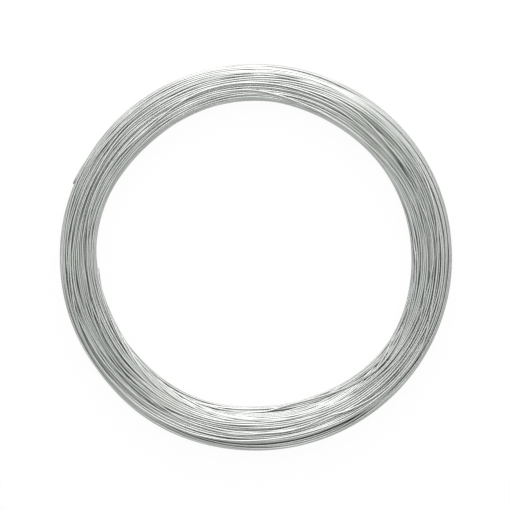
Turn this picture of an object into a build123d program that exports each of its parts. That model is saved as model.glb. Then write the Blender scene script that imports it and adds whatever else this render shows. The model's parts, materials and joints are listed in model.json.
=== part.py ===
"""Coil of galvanized steel wire, lying flat, as it comes off its winding former."""
from build123d import *
from math import pi, tan
import os

# Driving sizes, in millimetres
wire_diameter = 1.6
bore_diameter = 237.0
# the bundle of turns, from the bore to the outside and from the floor up
bundle_width = 31.5
bundle_height = 26.0
# rounding of the bundle's four corners, measured over the turns
section_corner = 9.0
# how deep the grooves between neighbouring turns are open, down to about where the turns touch
groove_depth = 0.55
# sides of a turn's section, one of them facing out, which stand for round wire
wire_sides = 12

# Section of the bundle of turns
bundle_middle = (bore_diameter + bundle_width) / 2
corner_radius = min(section_corner, 0.45 * bundle_width, 0.45 * bundle_height)

# The centres of the outer turns lie on a rounded rectangle, half a wire inside the section
wire_radius = wire_diameter / 2
lay_width = bundle_width - wire_diameter
lay_height = bundle_height - wire_diameter
lay_corner = corner_radius - wire_radius
face_run = lay_width - 2 * lay_corner
side_run = lay_height - 2 * lay_corner

# Gaps between neighbouring turns along each stretch, each about one wire wide
face_gaps = max(1, round(face_run / wire_diameter))
side_gaps = max(1, round(side_run / wire_diameter))
corner_gaps = max(2, round(pi / 2 * lay_corner / wire_diameter))
corner_step = 90 / corner_gaps

# Each corner of the section: its side of the middle, across and up
corner_sides = [(1, 1), (-1, 1), (-1, -1), (1, -1)]


def turn():
    """One turn's section, flat side out."""
    RegularPolygon(wire_radius, wire_sides, major_radius=False, rotation=180 / wire_sides)


# Wire coil: one turned solid with its bore, its outer turns showing all round
with BuildPart() as wire_coil:
    with BuildSketch(Plane.XZ):
        with Locations((bundle_middle, bundle_height / 2)):
            # the hidden turns, as one plain core that closes the grooves
            RectangleRounded(
                bundle_width - 2 * groove_depth,
                bundle_height - 2 * groove_depth,
                corner_radius - groove_depth,
            )
            # turns of the base and of the top
            with GridLocations(face_run / face_gaps, lay_height, face_gaps + 1, 2):
                turn()
            # turns of the bore and of the outside
            with GridLocations(lay_width, side_run / side_gaps, 2, side_gaps + 1):
                turn()
            # turns round each corner, between the straight stretches
            for quarter, (across, up) in enumerate(corner_sides):
                first_angle = 90 * quarter + corner_step
                with Locations((across * face_run / 2, up * side_run / 2)):
                    with PolarLocations(lay_corner, corner_gaps - 1, first_angle, 90 - corner_step):
                        turn()
    revolve(axis=Axis.Z)

os.makedirs("parts", exist_ok=True)
wire_coil.part.label = "wire_coil"
export_step(wire_coil.part, "parts/wire_coil.step")

# Where the coil can be held, for whoever fits it to something
turn_land = wire_diameter * tan(pi / wire_sides)
print("bore: radius", bore_diameter / 2, "length", side_run + turn_land, "middle at", bundle_height / 2)
print("turns in sight round the section:", 2 * (face_gaps + side_gaps) + 4 * corner_gaps)
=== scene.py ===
"""Coil of galvanized wire: all the turns of one long wire, wound at random into a flat ring."""

import json
import math

import bpy
import numpy as np
from bpy.props import FloatProperty, IntProperty, PointerProperty, StringProperty
from bpy.types import Operator, Panel, PropertyGroup
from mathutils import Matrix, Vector


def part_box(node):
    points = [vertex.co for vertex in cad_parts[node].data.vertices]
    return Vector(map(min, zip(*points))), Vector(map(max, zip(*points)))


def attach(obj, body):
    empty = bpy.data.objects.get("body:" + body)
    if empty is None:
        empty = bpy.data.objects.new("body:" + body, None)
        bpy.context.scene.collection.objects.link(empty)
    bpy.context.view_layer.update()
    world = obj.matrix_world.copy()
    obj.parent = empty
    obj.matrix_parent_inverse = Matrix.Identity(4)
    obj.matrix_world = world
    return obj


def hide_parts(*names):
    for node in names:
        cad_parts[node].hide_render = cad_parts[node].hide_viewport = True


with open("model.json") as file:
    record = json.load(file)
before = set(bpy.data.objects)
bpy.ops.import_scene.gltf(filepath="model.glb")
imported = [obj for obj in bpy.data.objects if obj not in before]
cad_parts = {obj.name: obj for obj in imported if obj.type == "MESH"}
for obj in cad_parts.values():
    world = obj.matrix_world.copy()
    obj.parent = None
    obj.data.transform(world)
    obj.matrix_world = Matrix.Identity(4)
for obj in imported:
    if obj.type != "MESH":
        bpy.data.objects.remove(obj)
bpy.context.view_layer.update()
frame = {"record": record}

bl_info = {
    "name": "Galvanized Wire Coil",
    "version": (1, 0, 0),
    "blender": (4, 5, 0),
    "location": "3D View > Sidebar > Wire Coil",
    "description": "Winds one galvanized wire into a loose flat coil and stages it",
    "category": "Add Mesh",
}

COIL_NODE = "wire_coil"
BORE = next(mount for mount in frame["record"]["mounts"] if mount["name"] == "bore")

coil_low, coil_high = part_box(COIL_NODE)
OUTER_RADIUS = (coil_high.x - coil_low.x) / 2
BORE_RADIUS = BORE["dims"]["r_mm"] / 1000
COIL_HEIGHT = coil_high.z - coil_low.z

# Shape of the bundle of turns, in metres. Angles are in degrees from +X, and the front of the ring is at -Y.

# the bundle keeps this far inside the ring's two rims, on average
RIM_GAP = 0.0003
# waves of the two rims, each as count round the ring, size and the angle of a peak
BORE_WAVES = [(1, 0.0020, 96), (2, 0.0021, -11), (3, 0.0008, -34), (4, 0.0007, -19), (5, 0.0010, 29)]
OUTER_WAVES = [(1, 0.0002, -2), (2, 0.0013, 4), (3, 0.0002, -5), (4, 0.0002, 35)]
# how far the bundle's mean top lies under the ring's, and how much more at the front
TOP_GAP, FRONT_DROP = 0.0020, 0.0009
# slope of the top down to the bore, as a share of the half height, and how much more at the front
LEAN, FRONT_LEAN = 0.03, 0.65
# the section's rim is |x|^p + |z|^p = 1, and p of 2 is an ellipse
SQUARENESS = 2.3
# how many ridges run along the top
RIDGES = 9

# how far a turn strays along its layer, as a share of the half height
STRAY = 0.12
# where half of the turns cross over to their next place, left and right, and how far that varies
CROSSINGS, CROSSING_SPREAD = (186, 356), 17
# shortest and longest way round that a turn takes to cross over
CROSSING_LENGTHS = (35, 90)
# how wide the border between two strands is blurred, in wires
STRAND_EDGE = 0.45

# where the wire's two ends lie, over how many degrees they stand off, and how far: inwards and outwards
INNER_END, OUTER_END = 184, 158
LOOSE_END = 9
INNER_END_OFF, OUTER_END_OFF = 0.0011, 0.0013

# Settling the turns

# rounds from one search for neighbours to the next, and how near those lie, in wires
NEIGHBOURS_EVERY, NEIGHBOUR_REACH = 12, 1.6
# the share of an overlap by which each of two turns gives way in a round, and the distance that they
# should have, in wires
PUSH, CLEARANCE = 0.45, 1.01
# how fast the wire eases its bends
SPRING = 0.5
# how firmly a turn keeps to its place at first, how firmly at the end, and when that changes
EARLY_HOLD, LATE_HOLD, EARLY_SHARE = 0.02, 0.005, 0.6
# how fast a turn outside the bundle is drawn in
DRAW_IN = 0.3
# how far under the ring's top the turns are kept, and how far under it the centre line of a loose stretch
# has to stay, in metres
LOOSE_ROOM, TOP_ROOM = 0.0006, 0.0001

# Loose stretches

# rounds of smoothing one, and how far a wire moves across before it has to be lifted, in wires
LIFTING_ROUNDS, LIFTED_FROM = 30, 0.15
# the share of a loose stretch in which it moves over, and in which it moves back
MOVE_SHARE = 0.45

# Real sizes of the zinc's patterns, in millimetres
PATCH_LENGTH, STRETCH_LENGTH = 45, 333
STREAK_LENGTH, STREAK_WIDTH, STREAK_HEIGHT = 10, 0.84, 0.03
# how much smoother the clean zinc is than the roughness that is set, and how much rougher the dull zinc
ROUGHNESS_SPREAD = 0.05

# Stage

# the picture's width, the ring's outer diameter in it and the pixel of the ring's middle
PICTURE, RING_PIXELS, RING_MIDDLE = 510, 391, (255.5, 257.5)
# the sensor's width in millimetres, and the floor's reach from the middle in metres
SENSOR_WIDTH, FLOOR_REACH = 36, 6.0
# the grey room, at its walls and overhead, as linear colours
ROOM_WALLS, ROOM_OVERHEAD = (0.33, 0.367, 0.346, 1), (0.76, 0.81, 0.775, 1)
# the share of plain white in the floor as it is seen, and the rest is lit and takes the shadow
PLAIN_SHARE = 0.95


# Settings

class WireSettings(PropertyGroup):
    """The wire and the way it is wound."""
    diameter: FloatProperty(
        name="Wire diameter", description="Diameter over the zinc", default=0.0016, unit="LENGTH")
    turns: IntProperty(
        name="Turns", description="Turns of wire in the bundle", default=228, min=20)
    stations: IntProperty(
        name="Stations", description="Places round the ring where the turns are settled", default=72,
        min=24)
    seed: IntProperty(
        name="Seed", description="Picks one way of winding out of many", default=5)
    wander: FloatProperty(
        name="Wander", description="How many layers a turn strays from its own", default=1.3, min=0.0)
    strands: IntProperty(
        name="Strands", description="Strands of neighbouring turns that drift together", default=30, min=2)
    strand_drift: FloatProperty(
        name="Strand drift", description="How far a strand drifts across and up", default=0.0009,
        unit="LENGTH")
    gather: FloatProperty(
        name="Gather", description="How much a strand draws its turns together", default=0.36,
        min=0.0, max=0.5)
    turn_drift: FloatProperty(
        name="Turn drift", description="How far one turn drifts by itself", default=0.00022, unit="LENGTH")
    ridges: FloatProperty(
        name="Ridges", description="Height of the ridges on the bundle's top", default=0.0006, unit="LENGTH")
    riders: IntProperty(
        name="Riders", description="Loose stretches of wire to lay over the others", default=60, min=0)
    rounds: IntProperty(
        name="Rounds", description="Rounds of settling the turns against each other", default=500, min=10)
    sides: IntProperty(
        name="Sides", description="Sides of the wire's mesh", default=10, min=6)
    steps: IntProperty(
        name="Steps", description="Mesh steps round one turn", default=180, min=48)
    pieces: IntProperty(
        name="Pieces", description="Lengths that the one wire's mesh is cut into", default=5, min=1)


class ZincSettings(PropertyGroup):
    """The zinc on the wire."""
    colour: StringProperty(
        name="Zinc", description="Colour of the clean zinc, as sRGB hex", default="D5D5D4")
    dull: StringProperty(
        name="Dull zinc", description="Colour of the dull zinc, as sRGB hex", default="A8A9A7")
    roughness: FloatProperty(
        name="Roughness", description="Roughness of the zinc", default=0.36, min=0.0, max=1.0)


class StageSettings(PropertyGroup):
    """Floor, lamps and camera."""
    camera_height: FloatProperty(
        name="Camera height", description="Height of the camera above the floor", default=3.0,
        unit="LENGTH")
    key_power: FloatProperty(
        name="Key power", description="Power of the large lamp behind the ring", default=73, unit="POWER")
    overhead_power: FloatProperty(
        name="Overhead power", description="Power of the lamp over the ring", default=19, unit="POWER")


# Small helpers

def linear(hex_colour):
    """An sRGB hex colour as linear red, green, blue and alpha."""
    srgb = np.array([int(hex_colour[i:i + 2], 16) / 255 for i in (0, 2, 4)])
    low, high = srgb / 12.92, ((srgb + 0.055) / 1.055) ** 2.4
    return (*np.where(srgb <= 0.04045, low, high).tolist(), 1.0)


def add_node(tree, kind, values=None, links=None):
    """Adds a node, sets its properties and inputs from values, and joins the outputs in links to its inputs.

    An input goes by its name or its number.
    """
    node = tree.nodes.new(kind)
    for name, value in (values or {}).items():
        if isinstance(name, int) or name in node.inputs:
            node.inputs[name].default_value = value
        else:
            setattr(node, name, value)
    for name, source in (links or {}).items():
        tree.links.new(source, node.inputs[name])
    return node


def empty_tree(owner):
    """The cleared node tree of a new material or world."""
    owner.use_nodes = True
    owner.node_tree.nodes.clear()
    return owner.node_tree


def smooth_step(x):
    """3x^2 - 2x^3 from 0 to 1, flat outside."""
    x = np.clip(x, 0, 1)
    return x * x * (3 - 2 * x)


def waves(theta, terms):
    """Sum of size * cos(count * (theta - peak)) over (count, size, peak in degrees)."""
    return sum(size * np.cos(count * (theta - math.radians(peak))) for count, size, peak in terms)


# Winding

def bundle_outline(theta):
    """Inner radius, outer radius, height and lean of the bundle at the angles theta, in metres.

    The ring is a little oval and its bore sits off centre. At the front the bundle is wide, a little lower,
    and slopes to the bore. How much it is the front is ((1 - sin theta) / 2)^3, which is 1 at -Y and 0 at +Y.
    """
    inner = BORE_RADIUS + RIM_GAP + waves(theta, BORE_WAVES)
    outer = OUTER_RADIUS - RIM_GAP + waves(theta, OUTER_WAVES)
    front = ((1 - np.sin(theta)) / 2) ** 3
    return inner, outer, COIL_HEIGHT - TOP_GAP - FRONT_DROP * front, LEAN + FRONT_LEAN * front


class Bundle:
    """The space for the wire's centre line at the angles theta round the ring.

    x across it is -1 at the bore and 1 outside, and z is -1 at its base and 1 at its mean top.
    """

    def __init__(self, theta, settings):
        inner, outer, height, self.lean = bundle_outline(theta)
        wire = settings.diameter
        self.theta = theta
        self.middle, self.half = (inner + outer) / 2, (outer - inner) / 2 - wire / 2
        self.centre, self.rise = height / 2, height / 2 - wire / 2
        self.ridge_height = settings.ridges
        self.ridges = []

    def draw_ridges(self, rng):
        """Ridges along the top that drift in and out: waves across, waves round the ring, and phase."""
        self.ridges = [(rng.uniform(1.2, 4.0), rng.integers(-3, 4), rng.uniform(0, 2 * math.pi))
                       for _ in range(RIDGES)]

    def top_at(self, x):
        """How much higher or lower the top is at x, as a share of the half height.

        It is lean * x, and for each ridge its height * cos(pi * across * x + around * theta + phase).
        """
        ridge = sum(np.cos(math.pi * across * x + around * self.theta + phase)
                    for across, around, phase in self.ridges)
        return self.lean * x + self.ridge_height * ridge / (2 * self.rise.mean())

    def in_metres(self, x, z):
        """Radius and height of the point x, z: its upper half is stretched by 1 + top_at(x)."""
        z = np.where(z > 0, z * (1 + self.top_at(x)), z)
        return self.middle + x * self.half, self.centre + z * self.rise

    def in_section(self, path):
        """x and z of the wire's centres, which undoes in_metres."""
        x, z = (path[..., 0] - self.middle) / self.half, (path[..., 1] - self.centre) / self.rise
        return x, np.where(z > 0, z / (1 + self.top_at(x)), z)


def rim_reach(x, z):
    """|x|^p + |z|^p, which is 1 on the section's rim."""
    return np.abs(x) ** SQUARENESS + np.abs(z) ** SQUARENESS


def section_places(turns, width, height):
    """As many places as turns, inside the section's rim, on a lattice of equal triangles, and their step."""
    # the step is corrected until about as many places as turns lie inside, and the innermost are taken
    step = 0.2
    for _ in range(40):
        across = np.arange(-30, 31) * step
        up = np.arange(-30, 31) * step * math.sqrt(0.75)
        x = across[None] + (np.arange(len(up)) % 2)[:, None] * step / 2
        z = np.broadcast_to(up[:, None] * width / height, x.shape)
        reach = rim_reach(x, z)
        found = (reach < 1).sum()
        if found == turns:
            break
        step *= (found / turns) ** 0.5
    nearest = np.argsort(reach.ravel(), kind="stable")[:turns]
    return np.stack([x.ravel()[nearest], z.ravel()[nearest]], 1), step


def winding_order(places, step, wander, rng):
    """The places as they are wound: layer by layer outwards, down and up by turns, with some straying."""
    turns = len(places)
    layer = np.floor(np.round((places[:, 0] + 1) / step) + rng.normal(0, wander, turns))
    # the wire starts innermost and ends outermost, so these two go before and after every layer
    layer[places[:, 0].argmin()], layer[places[:, 0].argmax()] = -99, 99
    along = np.where(layer % 2 == 0, -places[:, 1], places[:, 1]) + rng.normal(0, STRAY, turns)
    return places[np.lexsort((along, layer))]


def crossing_times(rng, turns):
    """When each turn crosses to the next place, in turns: half cross near the ring's left or right."""
    left, right = CROSSINGS
    near = np.where(rng.random(turns) < 0.5, left, right) + rng.normal(0, CROSSING_SPREAD, turns)
    anywhere = rng.uniform(0, 360, turns)
    return np.arange(turns) + np.where(rng.random(turns) < 0.5, near, anywhere) / 360


def route_through(places, theta, rng):
    """x and z of each turn at the angles theta, when the wire crosses to the next place once in a turn.

    Crossing from a place p to the next, q, is p * (1 - s) + q * s, with s a smooth step along the wire.
    """
    turns = len(places)
    length = (np.arange(turns)[:, None] + theta[None] / (2 * math.pi)).ravel()
    cross = np.sort(crossing_times(rng, turns))
    spread = rng.uniform(*CROSSING_LENGTHS, turns) / 360
    now = np.clip(np.searchsorted(cross, length), 0, turns - 1)
    before, after = np.maximum(now - 1, 0), np.minimum(now + 1, turns - 1)
    entered = smooth_step((length - cross[before]) / spread[before] + 0.5)[:, None]
    leaving = smooth_step((length - cross[now]) / spread[now] + 0.5)[:, None]
    route = places[before] * (1 - entered) + places[now] * entered
    return (route * (1 - leaving) + places[after] * leaving).reshape(turns, len(theta), 2)


def drifts(rng, count, theta, size, counts):
    """Smooth random offsets across and up, periodic round the ring, for count strands or turns.

    Each is the sum over n in counts of a random size / sqrt(n) * cos(n * theta + phase).
    """
    out = np.zeros((count, len(theta), 2))
    for n in counts:
        phase = rng.uniform(0, 2 * math.pi, (count, 1, 2))
        out += rng.normal(0, size / n ** 0.5, (count, 1, 2)) * np.cos(n * theta[None, :, None] + phase)
    return out


def near_pairs(path, reach):
    """Every (turn, other turn, station) whose wires lie nearer than reach."""
    first, second = np.triu_indices(len(path), 1)
    found = []
    for station in range(path.shape[1]):
        gap = path[first, station] - path[second, station]
        near = (gap * gap).sum(1) < reach * reach
        found.append((first[near], second[near], np.full(near.sum(), station)))
    return [np.concatenate(part) for part in zip(*found)]


def settle(goal, bundle, settings):
    """Moves the turns from goal, little by little, so that few of them still cut far into each other.

    In each round two centres nearer than a wire's width part along their line, the wire gives up a share of
    its bend, every turn goes a share of its way back to goal, and a centre outside the section's rim is scaled
    towards the middle.
    """
    wire, stations = settings.diameter, goal.shape[1]
    path = goal.copy()
    flat = path.reshape(-1, 2)
    for settling in range(settings.rounds):
        if settling % NEIGHBOURS_EVERY == 0:
            one, other, station = near_pairs(path, NEIGHBOUR_REACH * wire)
            one_at, other_at = one * stations + station, other * stations + station
        # turns that cut into each other move apart
        gap = flat[one_at] - flat[other_at]
        dist = np.sqrt((gap * gap).sum(1)) + 1e-9
        push = gap * (PUSH * np.maximum(0, CLEARANCE * wire - dist) / dist)[:, None]
        for axis in (0, 1):
            flat[:, axis] += np.bincount(one_at, push[:, axis], minlength=len(flat))
            flat[:, axis] -= np.bincount(other_at, push[:, axis], minlength=len(flat))
        # the wire is springy: it spreads its bends evenly
        bend = np.zeros_like(flat)
        bend[1:-1] = 0.5 * (flat[:-2] + flat[2:]) - flat[1:-1]
        ease = bend.copy()
        ease[1:-1] -= 0.5 * (bend[:-2] + bend[2:])
        flat += SPRING * ease
        # each turn keeps near its place in the winding, and inside the bundle
        path += (EARLY_HOLD if settling < EARLY_SHARE * settings.rounds else LATE_HOLD) * (goal - path)
        x, z = bundle.in_section(path)
        reach = rim_reach(x, z) ** (1 / SQUARENESS)
        pull = 1 - DRAW_IN * (1 - 1 / np.maximum(reach, 1))
        path[..., 0], height = bundle.in_metres(x * pull, z * pull)
        path[..., 1] = np.clip(height, wire / 2, COIL_HEIGHT - LOOSE_ROOM - wire / 2)
    return path


def wind(settings):
    """Radius and height of the wire at each station of each turn."""
    rng = np.random.default_rng(settings.seed)
    wire, turns = settings.diameter, settings.turns
    theta = np.arange(settings.stations) * 2 * math.pi / settings.stations
    bundle = Bundle(theta, settings)
    scale = np.array([bundle.half.mean(), bundle.rise.mean()])
    places, step = section_places(turns, *scale)
    places = winding_order(places, step, settings.wander, rng)
    route = route_through(places, theta, rng)
    bundle.draw_ridges(rng)

    # strands of neighbouring turns draw together and drift together, and a turn between two follows both
    seeds = places[rng.choice(turns, settings.strands, replace=False)]
    sway = drifts(rng, settings.strands, theta, settings.strand_drift, (1, 2, 3))
    offset = (route[:, :, None] - seeds) * scale
    apart = (offset ** 2).sum(-1)
    share = np.exp(-(apart - apart.min(-1, keepdims=True)) / (2 * (STRAND_EDGE * wire) ** 2))
    share /= share.sum(-1, keepdims=True)
    goal = np.stack(bundle.in_metres(route[..., 0], route[..., 1]), -1)
    goal += np.einsum("tks,skx->tkx", share, sway)
    goal -= settings.gather * np.einsum("tks,tksx->tkx", share, offset)
    goal += drifts(rng, turns, theta, settings.turn_drift, (1, 2, 3, 4))
    return settle(goal, bundle, settings)


# Loose stretches

def lie_over(fine, turn, first, shift, wire):
    """Moves one stretch of a turn across by shift and lays it over whatever it then crosses, if it fits.

    Over a turn at (r, z), the wire's centre at radius q stands at z + sqrt(D^2 - (q - r)^2) or higher, where
    D is the wire's diameter.
    """
    steps = fine.shape[1]
    flat = fine.reshape(-1, 2)
    # a twentieth of a turn before and after, where the wire climbs and comes down
    run_up = steps // 20
    span = np.arange(-run_up, len(shift) + run_up)
    shift = np.pad(shift, run_up)
    rows = turn * steps + first + span
    others = fine[:, (first + span) % steps].copy()
    others[rows // steps, np.arange(len(span))] = -1
    across = flat[rows, 0] + shift
    reach = wire * wire - (across[None] - others[..., 0]) ** 2
    least = np.where(reach > 0, others[..., 1] + np.sqrt(np.maximum(reach, 0)), 0).max(0)
    # where it hardly moves across it stays at its own height
    least = np.where(np.abs(shift) > LIFTED_FROM * wire, least, 0)
    height = np.maximum(flat[rows, 1], least)
    for _ in range(LIFTING_ROUNDS):
        height[1:-1] = np.maximum(least[1:-1], (height[:-2] + 2 * height[1:-1] + height[2:]) / 4)
    fits = height.max() < COIL_HEIGHT - TOP_ROOM
    if fits:
        flat[rows, 0], flat[rows, 1] = across, height
    return fits


def rider_shift(count, rise, fall, size):
    """Sideways shift of a loose stretch: in over the share rise of it, and back over the share fall."""
    at = np.linspace(0, 1, count)
    return size * smooth_step(at / rise) * smooth_step((1 - at) / fall)


def in_sight(fine, step, wire):
    """Turns that nothing covers at this step.

    A turn rests on another at sqrt(D^2 - across^2) over it, where D is the wire's diameter. It is in sight
    when it stands more than half as high over each turn that it overlaps.
    """
    radius, height = fine[:, step].T
    reach = wire * wire - (radius[:, None] - radius[None]) ** 2
    cover = np.where(reach > 0, height[None] + 0.5 * np.sqrt(np.maximum(reach, 0)), -1)
    np.fill_diagonal(cover, -1)
    return height > cover.max(1)


def loosen(fine, settings):
    """Lays loose stretches of the wire over the others, as the turns on top of a hand-tied coil lie."""
    rng = np.random.default_rng(settings.seed + 1)
    steps, wire = fine.shape[1], settings.diameter

    def ride(angle, across, spread, rise, fall, size):
        """Loosens a turn in sight near across (0 at the bore, 1 outside), over spread degrees from angle."""
        first, count = int(angle / 360 * steps) % steps, max(8, int(spread / 360 * steps))
        inner, outer, _, _ = bundle_outline(math.radians(angle))
        free = in_sight(fine, first, wire) & in_sight(fine, (first + count) % steps, wire)
        # a stretch must not run past the wire's ends
        free[-1] = free[0] = False
        miss = np.abs(fine[:, first, 0] - (inner + across * (outer - inner)))
        nearest = np.argsort(np.where(free, miss, 1), kind="stable")[:min(4, free.sum())]
        shift = rider_shift(count, rise, fall, size)
        return any(lie_over(fine, turn, first, shift, wire) for turn in nearest)

    # two thirds start near the ring's left or lower right, and each moves towards the bundle's middle
    for _ in range(settings.riders):
        angle = rng.choice([rng.normal(160, 30), rng.normal(325, 30), rng.uniform(0, 360)])
        across = rng.uniform(0.05, 0.95)
        size = rng.uniform(0.0010, 0.0028) * (1 if across < 0.5 else -1)
        ride(angle % 360, across, rng.uniform(40, 100), MOVE_SHARE, MOVE_SHARE, size)
    # the loose turns at the front, which fan out towards the bore
    for _ in range(settings.riders // 3):
        ride(rng.uniform(215, 310), rng.uniform(0.05, 0.6), rng.uniform(16, 40), MOVE_SHARE, MOVE_SHARE,
             rng.uniform(-0.0022, 0.0018))
    # a turn that cuts across the front, and one that waves in and out at the bore
    ride(272, 0.5, 64, 0.2, 0.7, -0.0038)
    ride(198, 0.02, 30, 0.4, 0.45, 0.0028)


# Meshes

def spline(points, at):
    """Catmull-Rom curve through the rows of points, one unit apart, read at the parameters in at."""
    index = np.clip(np.floor(at).astype(int), 0, len(points) - 2)
    t = (at - index)[:, None]
    p0, p1 = points[np.maximum(index - 1, 0)], points[index]
    p2, p3 = points[index + 1], points[np.minimum(index + 2, len(points) - 1)]
    return 0.5 * (2 * p1 + (p2 - p0) * t + (2 * p0 - 5 * p1 + 4 * p2 - p3) * t ** 2
                  + (3 * p1 - p0 - 3 * p2 + p3) * t ** 3)


def tube(centres, radius, sides):
    """Vertices, quads and end triangles of a round tube along the centres, and each centre's way along it.

    Each ring is centre + radius * (cos v * side + sin v * up), with side and up square to the path.
    """
    along = np.gradient(centres, axis=0)
    along /= np.linalg.norm(along, axis=1, keepdims=True)
    side = np.cross(along, [0, 0, 1.0])
    side /= np.linalg.norm(side, axis=1, keepdims=True)
    up = np.cross(side, along)
    v = np.arange(sides) * 2 * math.pi / sides
    rings = centres[:, None] + radius * (np.cos(v)[None, :, None] * side[:, None]
                                         + np.sin(v)[None, :, None] * up[:, None])
    verts = np.concatenate([rings.reshape(-1, 3), centres[:1], centres[-1:]])
    count = len(centres)
    rim = np.arange(sides)
    beside = (rim + 1) % sides
    ring_start = np.arange(count - 1)[:, None] * sides
    at, after = ring_start + rim[None], ring_start + beside[None]
    quads = np.stack([at, after, after + sides, at + sides], -1).reshape(-1, 4)
    last = (count - 1) * sides
    start_cap = np.stack([beside, rim, np.full(sides, count * sides)], 1)
    end_cap = np.stack([last + rim, last + beside, np.full(sides, count * sides + 1)], 1)
    length = np.concatenate([[0], np.cumsum(np.linalg.norm(np.diff(centres, axis=0), axis=1))])
    return verts, quads, np.concatenate([start_cap, end_cap]), length


def tube_uv(length, sides):
    """One UV row for each corner of a tube's quads and end triangles: metres along, and share of girth."""
    u = np.stack([length[:-1], length[:-1], length[1:], length[1:]], -1)
    girth = np.arange(sides + 1) / sides
    v = np.stack([girth[:-1], girth[1:], girth[1:], girth[:-1]], -1)
    shape = (len(length) - 1, sides, 4)
    quads = np.stack([np.broadcast_to(u[:, None], shape), np.broadcast_to(v[None], shape)], -1)
    start_cap, end_cap = np.zeros((2, 3 * sides, 2))
    start_cap[:, 0], end_cap[:, 0] = length[0], length[-1]
    return np.concatenate([quads.reshape(-1, 2), start_cap, end_cap])


def mesh_object(name, verts, quads, triangles, uv):
    """A mesh object from whole arrays, with smooth quads, flat triangles and one UV row for each corner."""
    mesh = bpy.data.meshes.new(name)
    corners = np.concatenate([quads.ravel(), triangles.ravel()])
    starts = np.concatenate([np.arange(len(quads)) * 4, len(quads) * 4 + np.arange(len(triangles)) * 3])
    mesh.vertices.add(len(verts))
    mesh.vertices.foreach_set("co", verts.astype(np.float32).ravel())
    mesh.loops.add(len(corners))
    mesh.loops.foreach_set("vertex_index", corners.astype(np.int32))
    mesh.polygons.add(len(starts))
    mesh.polygons.foreach_set("loop_start", starts.astype(np.int32))
    mesh.polygons.foreach_set("use_smooth", np.arange(len(starts)) < len(quads))
    layer = mesh.uv_layers.new(name="wire")
    layer.data.foreach_set("uv", uv.astype(np.float32).ravel())
    mesh.update()
    mesh.validate()
    obj = bpy.data.objects.new(name, mesh)
    bpy.context.scene.collection.objects.link(obj)
    return obj


# Materials

def repeats(whole, size):
    """How many patterns of this size the whole holds, to the nearest one."""
    return float(round(whole / size))


def zinc_material(settings, diameter):
    """Hot-dip galvanized drawn steel wire.

    The drawn wire runs through molten zinc and is wiped. That leaves a bright, slightly soft shine, dull
    patches where the zinc froze slowly, and thin runs along the wire.
    """
    material = bpy.data.materials.new("hot_dip_zinc_on_drawn_steel_wire")
    tree = empty_tree(material)
    uv = add_node(tree, "ShaderNodeUVMap", {"uv_map": "wire"})

    def noise(along, around, detail, roughness=0.5):
        """Noise with so many patterns in a metre of wire and in its girth."""
        at = add_node(tree, "ShaderNodeMapping", {"Scale": (along, around, 1.0)}, {"Vector": uv.outputs[0]})
        values = {"Scale": 1.0, "Detail": detail, "Roughness": roughness}
        return add_node(tree, "ShaderNodeTexNoise", values, {"Vector": at.outputs[0]}).outputs["Fac"]

    # dull patches, a few centimetres long and right round the wire
    patches = noise(repeats(1000, PATCH_LENGTH), 0.6, 4.0, 0.6)
    # whole stretches that are brighter or duller, which sets one turn off from the next
    stretches = noise(repeats(1000, STRETCH_LENGTH), 0.0, 1.0)
    # thin runs of zinc
    streaks = noise(repeats(1000, STREAK_LENGTH), repeats(1000 * math.pi * diameter, STREAK_WIDTH), 2.0)

    # their sum is about 1 on average, and goes from clean to dull between 0.7 and 1.3
    both = add_node(tree, "ShaderNodeMath", {"operation": "ADD"}, {0: patches, 1: stretches})
    dull = add_node(tree, "ShaderNodeMapRange", {"From Min": 0.7, "From Max": 1.3},
                    {"Value": both.outputs[0]})
    colour = add_node(tree, "ShaderNodeMix",
                      {"data_type": "RGBA", 6: linear(settings.colour), 7: linear(settings.dull)},
                      {"Factor": dull.outputs[0]})
    # the dull zinc is also a little rougher
    rough = add_node(tree, "ShaderNodeMapRange",
                     {"To Min": settings.roughness - ROUGHNESS_SPREAD,
                      "To Max": settings.roughness + ROUGHNESS_SPREAD},
                     {"Value": dull.outputs[0]})
    relief = add_node(tree, "ShaderNodeBump", {"Strength": 0.5, "Distance": STREAK_HEIGHT / 1000},
                      {"Height": streaks})
    shader = add_node(tree, "ShaderNodeBsdfPrincipled", {"Metallic": 1.0},
                      {"Base Color": colour.outputs[2], "Roughness": rough.outputs[0],
                       "Normal": relief.outputs[0]})
    add_node(tree, "ShaderNodeOutputMaterial", links={"Surface": shader.outputs[0]})
    return material


def floor_material():
    """Matt white painted board.

    The paint scatters light evenly, with no shine. What the camera and the wire see of it is mostly plain
    white, and the small rest is lit and takes the coil's shadow.
    """
    material = bpy.data.materials.new("matt_white_board")
    tree = empty_tree(material)
    board = add_node(tree, "ShaderNodeBsdfDiffuse", {"Color": linear("F0F0F0")})
    plain = add_node(tree, "ShaderNodeEmission", {"Color": (1, 1, 1, 1), "Strength": 1.0})
    ray = add_node(tree, "ShaderNodeLightPath").outputs
    bounced = add_node(tree, "ShaderNodeMath", {"operation": "MAXIMUM"},
                       {0: ray["Is Glossy Ray"], 1: ray["Is Transmission Ray"]})
    seen = add_node(tree, "ShaderNodeMath", {"operation": "MAXIMUM"},
                    {0: ray["Is Camera Ray"], 1: bounced.outputs[0]})
    part = add_node(tree, "ShaderNodeMath", {"operation": "MULTIPLY", 1: PLAIN_SHARE}, {0: seen.outputs[0]})
    mixed = add_node(tree, "ShaderNodeMixShader",
                     links={"Fac": part.outputs[0], 1: board.outputs[0], 2: plain.outputs[0]})
    add_node(tree, "ShaderNodeOutputMaterial", links={"Surface": mixed.outputs[0]})
    return material


# Stage

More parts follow.
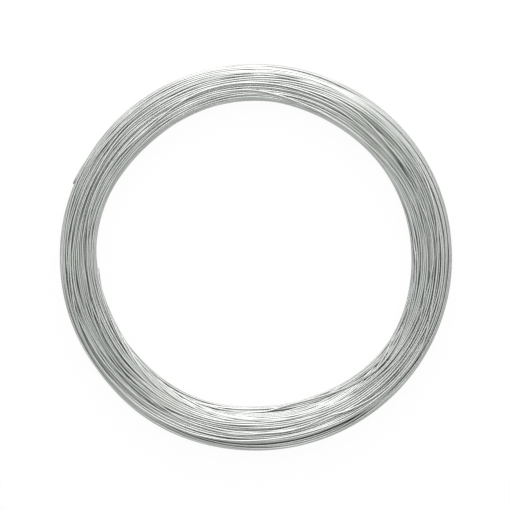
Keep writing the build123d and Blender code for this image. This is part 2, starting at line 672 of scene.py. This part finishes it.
def grey_room():
    """A world that is a grey room, darker towards its walls than overhead."""
    world = bpy.data.worlds.new("studio")
    tree = empty_tree(world)
    ray = add_node(tree, "ShaderNodeTexCoord")
    height = add_node(tree, "ShaderNodeSeparateXYZ", links={"Vector": ray.outputs["Generated"]})
    room = add_node(tree, "ShaderNodeMix", {"data_type": "RGBA", 6: ROOM_WALLS, 7: ROOM_OVERHEAD},
                    {"Factor": height.outputs["Z"]})
    background = add_node(tree, "ShaderNodeBackground", {"Strength": 1.0}, {"Color": room.outputs[2]})
    add_node(tree, "ShaderNodeOutputWorld", links={"Surface": background.outputs[0]})
    return world


def floor_board():
    """A flat square floor at z = 0."""
    mesh = bpy.data.meshes.new("floor")
    corners = [(x * FLOOR_REACH, y * FLOOR_REACH, 0) for x, y in ((-1, -1), (1, -1), (1, 1), (-1, 1))]
    mesh.from_pydata(corners, [], [(0, 1, 2, 3)])
    mesh.materials.append(floor_material())
    floor = bpy.data.objects.new("floor", mesh)
    bpy.context.scene.collection.objects.link(floor)
    return floor


def soft_box(name, place, width, depth, power):
    """A large near-white lamp at place that points at the ring's middle."""
    lamp = bpy.data.lights.new(name, "AREA")
    lamp.color = linear("FFFDFE")[:3]
    lamp.shape, lamp.size, lamp.size_y, lamp.energy = "RECTANGLE", width, depth, power
    obj = bpy.data.objects.new(name, lamp)
    obj.location = place
    obj.rotation_mode = "QUATERNION"
    obj.rotation_quaternion = (-Vector(place)).to_track_quat("-Z", "Y")
    bpy.context.scene.collection.objects.link(obj)


def top_camera(height):
    """A camera that looks straight down, and shows the ring as large and where it is in the picture."""
    camera = bpy.data.cameras.new("camera")
    camera.sensor_width = SENSOR_WIDTH
    to_ring = height - COIL_HEIGHT / 2
    camera.lens = SENSOR_WIDTH * (RING_PIXELS / PICTURE) * to_ring / (2 * OUTER_RADIUS)
    metres_per_pixel = 2 * OUTER_RADIUS / RING_PIXELS
    obj = bpy.data.objects.new("camera", camera)
    obj.location = ((PICTURE / 2 - RING_MIDDLE[0]) * metres_per_pixel,
                    (RING_MIDDLE[1] - PICTURE / 2) * metres_per_pixel, height)
    bpy.context.scene.collection.objects.link(obj)
    return obj


# Operators

class WIRECOIL_OT_turns(Operator):
    """Winds the wire and makes it, as consecutive lengths of one wire"""
    bl_idname = "wirecoil.turns"
    bl_label = "Wind the turns"

    def execute(self, context):
        settings = context.scene.coil_wire
        path = wind(settings)
        turns, stations = path.shape[:2]
        every = np.arange(0, turns * settings.steps) * stations / settings.steps
        fine = spline(path.reshape(-1, 2), every).reshape(turns, settings.steps, 2)
        loosen(fine, settings)
        points = fine.reshape(-1, 2)
        if not np.isfinite(points).all():
            raise RuntimeError("The turns didn't settle, so there is no wire to make")

        # the inner end lies at the left of the bore, and the outer end outside, a little further up
        rows = np.arange(len(points))
        first_row = int(INNER_END / 360 * settings.steps)
        last_row = int((turns - 1 + OUTER_END / 360) * settings.steps)
        tail = smooth_step(1 - (last_row - rows) / settings.steps * 360 / LOOSE_END)
        head = smooth_step(1 - (rows - first_row) / settings.steps * 360 / LOOSE_END)
        points[:, 0] += OUTER_END_OFF * tail - INNER_END_OFF * head

        zinc = zinc_material(context.scene.coil_zinc, settings.diameter)
        cuts = np.linspace(first_row, last_row, settings.pieces + 1).astype(int)
        for number in range(settings.pieces):
            at = np.arange(cuts[number], cuts[number + 1] + 1)
            radius, height = points[at].T
            angle = at * 2 * math.pi / settings.steps
            centres = np.stack([radius * np.cos(angle), radius * np.sin(angle), height], 1)
            verts, quads, caps, length = tube(centres, settings.diameter / 2, settings.sides)
            # each length's pattern starts about where the one before it ends
            uv = tube_uv(length + angle[0] * (BORE_RADIUS + OUTER_RADIUS) / 2, settings.sides)
            piece = mesh_object(f"wire_length_{number + 1}", verts, quads, caps, uv)
            piece.data.materials.append(zinc)
            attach(piece, "root")
            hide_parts(COIL_NODE)
        return {"FINISHED"}


class WIRECOIL_OT_stage(Operator):
    """Makes the floor, the lamps and the camera"""
    bl_idname = "wirecoil.stage"
    bl_label = "Make the stage"

    def execute(self, context):
        settings, scene = context.scene.coil_stage, context.scene
        scene.view_settings.view_transform = "Standard"
        scene.world = grey_room()
        floor = floor_board()
        soft_box("key_softbox", (0.0, 2.0, 1.45), 2.8, 4.4, settings.key_power)
        soft_box("overhead_softbox", (0.0, 0.8, 3.6), 1.6, 2.6, settings.overhead_power)
        scene.camera = top_camera(settings.camera_height)
        return {"FINISHED"}


class WIRECOIL_PT_panel(Panel):
    """Lists the coil's settings and the buttons that wind the wire and make the stage"""
    bl_idname = "WIRECOIL_PT_panel"
    bl_label = "Wire Coil"
    bl_space_type = "VIEW_3D"
    bl_region_type = "UI"
    bl_category = "Wire Coil"

    def draw(self, context):
        for group in (context.scene.coil_wire, context.scene.coil_zinc, context.scene.coil_stage):
            for name in group.bl_rna.properties.keys():
                if name not in ("rna_type", "name"):
                    self.layout.prop(group, name)
        for operator in OPERATORS:
            self.layout.operator(operator.bl_idname)


OPERATORS = (WIRECOIL_OT_turns, WIRECOIL_OT_stage)
CLASSES = (WireSettings, ZincSettings, StageSettings, *OPERATORS, WIRECOIL_PT_panel)


def register():
    for cls in CLASSES:
        bpy.utils.register_class(cls)
    bpy.types.Scene.coil_wire = PointerProperty(type=WireSettings)
    bpy.types.Scene.coil_zinc = PointerProperty(type=ZincSettings)
    bpy.types.Scene.coil_stage = PointerProperty(type=StageSettings)


def unregister():
    del bpy.types.Scene.coil_wire, bpy.types.Scene.coil_zinc, bpy.types.Scene.coil_stage
    for cls in reversed(CLASSES):
        bpy.utils.unregister_class(cls)


def main():
    register()
    bpy.ops.wirecoil.turns()
    bpy.ops.wirecoil.stage()


if __name__ == "__main__":
    main()
